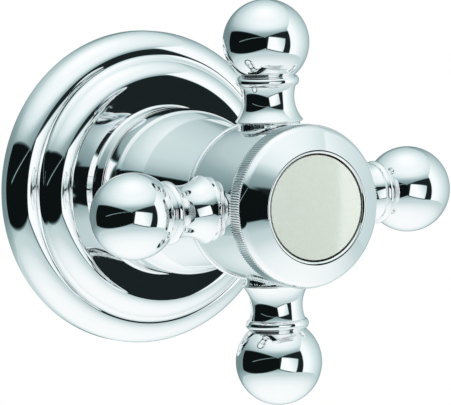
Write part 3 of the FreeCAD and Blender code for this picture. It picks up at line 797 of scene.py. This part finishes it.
# %% Draw the barrel
hub_length = hub_front - hub_back
lip_radius, lip_width, lip_swell, lip_step = 15.1, 1.5, 0.22, 0.15
hub_radius, hub_swell = 15.05, 0.2
cap_bore, web_front, web_back = 12.35, 10.8, 7.6
screw_bore, socket_radius = 2.6, 7.2
hub_outline = (
    Outline(socket_radius, 0)
    .line(lip_radius, 0)
    .arc(lip_radius, lip_width, lip_swell, step=0.05)
    .line(lip_radius - lip_step, lip_width)
    .arc(hub_radius, hub_length, hub_swell, step=0.14)
    .line(cap_bore, hub_length)
    .line(cap_bore, web_front)
    .line(screw_bore, web_front)
    .line(screw_bore, web_back)
    .line(socket_radius, web_back)
)
hub_rings = np.array([tuple(point) for point in hub_outline.eased(0.12)])
hub_steps = 528
print("hub rings", len(hub_rings), "steps", hub_steps)

# %% [markdown]
# The grid has one row for each corner of the outline and one column for each step round the axis.
# Only the rows on the barrel's outside are raised, in front of the lip and near the bosses. 528
# steps are fine enough for a mirror and keep the piece under 200,000 triangles.

# %% Raise the bosses and make the mesh
boss_radius, boss_blend, boss_edge = 5.9, 0.4, 0.12
boss_height = arm_plane - hub_back
boss_margin = 1.2
outside_from = 13.0
lip_clear = 0.05


def smooth_max(a, b, blend):
    """The larger of two, rounded where they are close."""
    share = np.clip(0.5 + 0.5 * (a - b) / blend, 0, 1)
    return b * (1 - share) + a * share + blend * share * (1 - share)


def raised_radius(barrel, level, angle):
    """How far the hub reaches at each height and angle, with its four bosses."""
    from_arm = np.mod(angle + math.pi / 4, math.pi / 2) - math.pi / 4
    half_width = np.sqrt(np.clip(boss_radius ** 2 - (level - boss_height) ** 2, 1e-6, None))
    side = half_width / np.maximum(np.abs(np.sin(from_arm)), 1e-3)
    face = boss_reach / np.cos(from_arm)
    boss = -smooth_max(-side, -face, boss_edge)
    raised = np.minimum(smooth_max(boss, barrel, boss_blend), face)
    near_boss = np.abs(level - boss_height) < boss_radius + boss_margin
    outside = (barrel > outside_from) & (level > lip_width + lip_clear) & near_boss
    return np.where(outside, raised, barrel)


def hub_mesh():
    """The hub as a closed grid of corners, ring by ring."""
    angle = np.linspace(0, 2 * math.pi, hub_steps, endpoint=False)[None, :]
    level = hub_rings[:, 1][:, None] + 0 * angle
    radius = raised_radius(hub_rings[:, 0][:, None] + 0 * angle, level, angle)
    corners = np.stack([radius * np.cos(angle), radius * np.sin(angle), level], -1) * mm
    count = len(hub_rings)
    faces = []
    for ring in range(count):
        here, after = ring * hub_steps, (ring + 1) % count * hub_steps
        for step in range(hub_steps):
            turn_on = (step + 1) % hub_steps
            faces.append((here + step, here + turn_on, after + turn_on, after + step))
    mesh = bpy.data.meshes.new("handle_hub_polished")
    mesh.from_pydata(corners.reshape(-1, 3).tolist(), [], faces)
    mesh.materials.append(finishes["polished_chrome"])
    mesh.transform(from_wall(hub_back))
    return tidy_mesh(mesh)


hub = bpy.data.objects.new("handle_hub_polished", hub_mesh())
bpy.context.scene.collection.objects.link(hub)
settle(hub, "handle", "handle_hub")

# %% [markdown]
# ## Knurled cap
# The cap screws into the hub and holds the disc. It is a turned cup with a sloping, slightly round
# face, a rolled lip round the disc, and a plain band that the knurling is cut into. The cup comes
# from the lathe.

# %% Turn the cap
cap_thread_radius, cap_thread_length, cap_wall = 12.3, 3.8, 1.3
knurl_length, tooth_depth = 3.6, 0.32
shoulder_radius, shoulder_rise, shoulder_swell = 14.3, 1.05, 0.1
face_swell = 0.02
lip_round, rolled_swell = 0.65, 0.13
disc_gap, seat_depth = 0.35, 2.5

band_foot = cap_thread_length + seam
band_top = band_foot + knurl_length
band_radius = cap_radius - tooth_depth
cap_length = cap_front - cap_back
seat_radius = disc_radius + disc_gap
seat_floor = cap_length - seat_depth
cap_outline = (
    Outline(0, seat_floor - cap_wall)
    .line(cap_thread_radius - cap_wall, seat_floor - cap_wall)
    .line(cap_thread_radius - cap_wall, 0)
    .line(cap_thread_radius, 0)
    .line(cap_thread_radius, band_foot)
    .line(band_radius, band_foot)
    .line(band_radius, band_top)
    .arc(shoulder_radius, band_top + shoulder_rise, shoulder_swell, step=0.05)
    .arc(seat_radius + lip_round, cap_length, face_swell)
    .arc(seat_radius, cap_length - lip_round / 2, rolled_swell, step=0.05)
    .line(seat_radius, seat_floor)
    .line(0, seat_floor)
)
cap = turned("knurled_cap_polished", cap_outline, from_wall(cap_back), steps=320, ease=0.12)
print("cap length", round(cap_length, 2), "seat radius", round(seat_radius, 2))

# %% [markdown]
# The grip is a band of 200 fine straight teeth. Cutting them out of the cup would take a boolean
# with 200 cutters. Instead one tooth is made, rooted a little inside the band, and a second tree
# sets it round the band as often as it fits.

# %% Build the knurling tree
knurling, given, made = new_tree("knurling", [("Teeth", "NodeSocketInt"),
                                              ("Band radius", "NodeSocketFloat"),
                                              ("Finish", "NodeSocketMaterial")])
band_circle = add(knurling, "GeometryNodeMeshCircle",
                  {"Vertices": given.outputs["Teeth"], "Radius": given.outputs["Band radius"]})
place_on_band = add(knurling, "GeometryNodeInputPosition")
outward = add(knurling, "FunctionNodeAlignRotationToVector",
              {"Vector": place_on_band.outputs[0]}, axis="X", pivot_axis="Z")
set_round = add(knurling, "GeometryNodeInstanceOnPoints",
                {"Points": band_circle.outputs[0], "Instance": given.outputs["Geometry"],
                 "Rotation": outward.outputs[0]})
all_teeth = add(knurling, "GeometryNodeRealizeInstances", {"Geometry": set_round.outputs[0]})
dressed = add(knurling, "GeometryNodeSetMaterial",
              {"Geometry": all_teeth.outputs[0], "Material": given.outputs["Finish"]})
knurling.links.new(dressed.outputs[0], made.inputs[0])
print("knurling nodes", len(knurling.nodes))

# %% Make one tooth and set it round the band
teeth_count, tooth_root = 200, 0.12
band_edge, slope_share = 0.25, 0.7
tooth_width = 2 * math.pi * band_radius / teeth_count


def tooth_mesh():
    """One tooth: a rounded ridge that rises from inside the band and slopes away at both ends."""
    flank = [(-tooth_root, 0.5), (0.0, 0.5), (tooth_depth * 0.55, 0.27), (tooth_depth * 0.9, 0.1)]
    section = [(out, -side) for out, side in flank] + [(tooth_depth, 0.0)] + flank[::-1]
    ends = [(band_foot + band_edge * slope_share, 0.0), (band_foot + band_edge, 1.0),
            (band_top - band_edge, 1.0), (band_top - band_edge * slope_share, 0.0)]
    corners = []
    for level, rise in ends:
        for out, side in section:
            height = out if out <= 0 else out * rise
            corners.append((height * mm, side * tooth_width * mm, level * mm))
    wide, last = len(section), len(ends) - 1
    faces = [tuple(reversed(range(wide))), tuple(range(last * wide, len(corners)))]
    for end in range(last):
        here, after = end * wide, (end + 1) * wide
        for side in range(wide):
            turn_on = (side + 1) % wide
            faces.append((here + side, here + turn_on, after + turn_on, after + side))
    mesh = bpy.data.meshes.new("tooth")
    mesh.from_pydata(corners, [], faces)
    return mesh


teeth = run_tree("knurling", tooth_mesh(), knurling, {
    "Teeth": teeth_count, "Band radius": band_radius * mm, "Finish": finishes["polished_chrome"]})
teeth.transform(from_wall(cap_back))
both = bmesh.new()
both.from_mesh(cap.data)
both.from_mesh(tidy_mesh(teeth))
both.to_mesh(cap.data)
both.free()
cap.data.set_sharp_from_angle(angle=sharp_angle)
print("teeth", teeth_count, "each", round(tooth_width, 2), "mm wide")
settle(cap, "handle", "knurled_cap")

# %% [markdown]
# ## Index disc
# A plain ivory porcelain disc, slightly crowned, lies in the cap with a thin dark gap round it. A
# flattened sphere would give the crown but not the straight edge, so it is one more turned outline.

# %% Turn the disc
disc_length = disc_front - disc_back
disc_edge = 1.5
crown = disc_length - disc_edge
crown_radius = (disc_radius ** 2 + crown ** 2) / (2 * crown)
disc_outline = (
    Outline(0, 0)
    .line(disc_radius, 0)
    .line(disc_radius, disc_edge)
    .ball(0, disc_length, crown_radius)
)
disc = turned("index_disc_glazed", disc_outline, from_wall(disc_back), steps=256, ease=0.2,
              finish_name="porcelain")
settle(disc, "handle", "index_disc")

# %% [markdown]
# ## Floor
# A plain pale floor lies well below the tap. It is matt and keeps the object's shadow. The chrome
# mirrors it as well, and there it shows as a white table does, bright in the middle and fading to a
# soft grey. A lamp over the floor could make that pool of light, but it would light the tap too, so
# the pool is painted light: a glow in the floor's material that only mirrors see.

# %% Lay the floor
floor_radius = 0.9
floor_centre = (0, -0.03, -0.4)
floor_mesh = bpy.data.meshes.new("floor")
floor_build = bmesh.new()
bmesh.ops.create_circle(floor_build, cap_ends=True, segments=96, radius=floor_radius)
bmesh.ops.translate(floor_build, verts=floor_build.verts, vec=floor_centre)
floor_build.to_mesh(floor_mesh)
floor_build.free()
floor = bpy.data.objects.new("floor", floor_mesh)
bpy.context.scene.collection.objects.link(floor)
print("floor", 2 * floor_radius, "m across")

# %% Finish the floor
pale = bpy.data.materials.new("pale_floor")
ground = Graph(pale)
spot_x, spot_y, _ = ground.axes(ground.node("ShaderNodeTexCoord", {}, {}, "Object"))
reach = (spot_x * spot_x + spot_y * spot_y).math("SQRT") / floor_radius
# Painted pool of light: the glow that mirrors see is white in the middle and fades to grey at the
# rim.
painted_pool_tones = [
    (0.0, from_screen(252, 254, 254)), (0.26, from_screen(248, 251, 251)),
    (0.45, from_screen(236, 243, 244)), (0.77, from_screen(202, 217, 218)),
    (1.0, from_screen(194, 211, 212)),
]
mirror_strength = 1.05
painted_pool_colour = ground.node("ShaderNodeValToRGB", {"stops": painted_pool_tones}, {"Fac": reach})
painted_pool_glow = ground.node("ShaderNodeEmission", {}, {"Color": painted_pool_colour, "Strength": mirror_strength})
matt = ground.node("ShaderNodeBsdfPrincipled", {},
                   {"Base Color": (0.86, 0.87, 0.87, 1), "Roughness": 0.8})
mirrored = ground.node("ShaderNodeLightPath", {}, {}, "Is Glossy Ray")
shown = ground.node("ShaderNodeMixShader", {}, {0: mirrored, 1: matt, 2: painted_pool_glow})
ground.node("ShaderNodeOutputMaterial", {}, {"Surface": shown})
floor_mesh.materials.append(pale)
print("floor nodes", len(ground.tree.nodes))

# %% [markdown]
